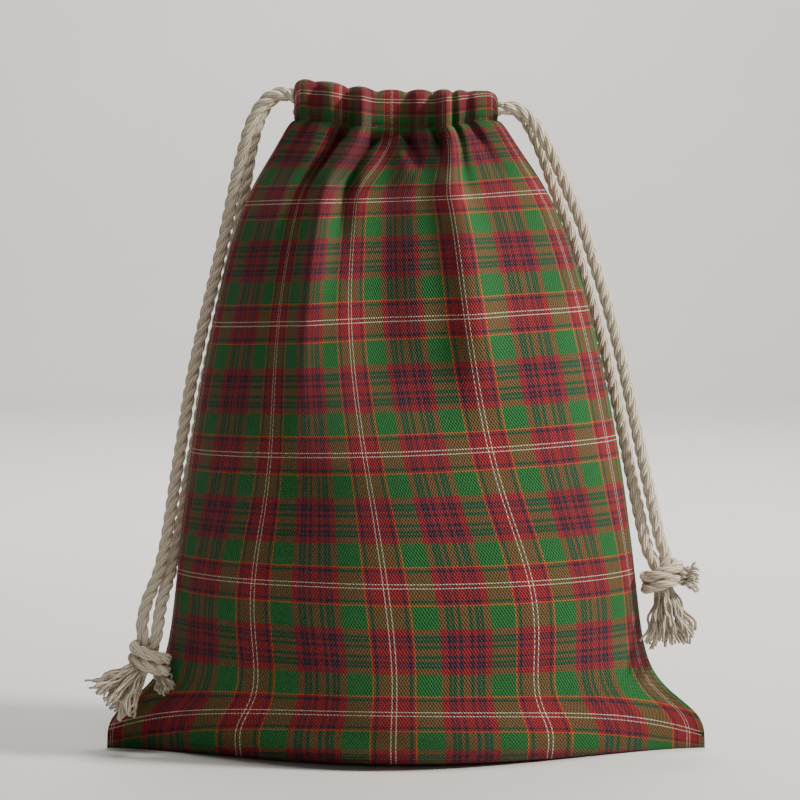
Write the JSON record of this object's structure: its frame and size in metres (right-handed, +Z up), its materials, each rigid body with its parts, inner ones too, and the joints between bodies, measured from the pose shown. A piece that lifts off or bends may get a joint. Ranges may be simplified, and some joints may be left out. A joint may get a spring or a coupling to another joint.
{
  "type": "drawstring gift sack",
  "caption": "Filled cloth drawstring sack standing on its base, with a gathered neck and two rope drawcords that end in knots and frayed tassels.",
  "frame": {"origin": "on the floor, under the middle of the sack's own box, without its free cords", "axes": "+Z up along the sack's height, X along the bottom seam with +X to the front view's right, -Y out of the front"},
  "size_m": [0.3116, 0.1276, 0.3333],
  "materials": {
    "cloth": "woven tartan, matt",
    "seam_allowance": "raw edges, overlocked",
    "thread": "stitched, satin",
    "rope": "three-strand twisted cotton, matt"
  },
  "bodies": {
    "sack": {"front_panel": "cloth", "back_panel": "cloth", "front_casing": "cloth", "back_casing": "cloth", "left_side_seam": "seam_allowance", "right_side_seam": "seam_allowance", "bottom_seam": "seam_allowance", "front_casing_stitching": "thread", "back_casing_stitching": "thread"},
    "left_mouth_end": {"left_front_slit_hem": "cloth", "left_back_slit_hem": "cloth", "left_bar_tack": "thread"},
    "right_mouth_end": {"right_front_slit_hem": "cloth", "right_back_slit_hem": "cloth", "right_bar_tack": "thread"},
    "left_drawcord": {"left_drawcord": "rope"},
    "right_drawcord": {"right_drawcord": "rope"},
    "left_tails": {"left_front_tail": "rope", "left_back_tail": "rope", "left_knot": "rope", "left_tassel": "rope"},
    "right_tails": {"right_front_tail": "rope", "right_back_tail": "rope", "right_knot": "rope", "right_tassel": "rope"}
  },
  "joints": [
    {"name": "left_drawcord_pull", "type": "slide", "parent": "sack", "child": "left_drawcord", "axis": [-1, 0, 0], "range_m": [0, 0.02], "deforming": ["front_casing", "back_casing", "front_panel", "back_panel", "left_side_seam", "right_side_seam", "front_casing_stitching", "back_casing_stitching"]},
    {"name": "right_drawcord_pull", "type": "slide", "parent": "sack", "child": "right_drawcord", "axis": [1, 0, 0], "range_m": [0, 0.02]},
    {"name": "left_mouth_close", "type": "slide", "parent": "sack", "child": "left_mouth_end", "axis": [1, 0, 0], "range_m": [0, 0.02]},
    {"name": "right_mouth_close", "type": "slide", "parent": "sack", "child": "right_mouth_end", "axis": [-1, 0, 0], "range_m": [0, 0.02]},
    {"name": "left_tails_swing", "type": "hinge", "parent": "left_drawcord", "child": "left_tails", "pos_m": [-0.059, 0.02, 0.32725], "axis": [0, 1, 0], "range_deg": [0, 75], "deforming": ["left_front_tail", "left_back_tail"]},
    {"name": "right_tails_swing", "type": "hinge", "parent": "right_drawcord", "child": "right_tails", "pos_m": [0.049, 0.02, 0.32035], "axis": [0, -1, 0], "range_deg": [0, 75], "deforming": ["right_front_tail", "right_back_tail"]}
  ],
  "couplings": [
    {"joint": "right_drawcord_pull", "follows": "left_drawcord_pull", "ratio": 1},
    {"joint": "left_mouth_close", "follows": "left_drawcord_pull", "ratio": 1},
    {"joint": "right_mouth_close", "follows": "left_drawcord_pull", "ratio": 1}
  ]
}
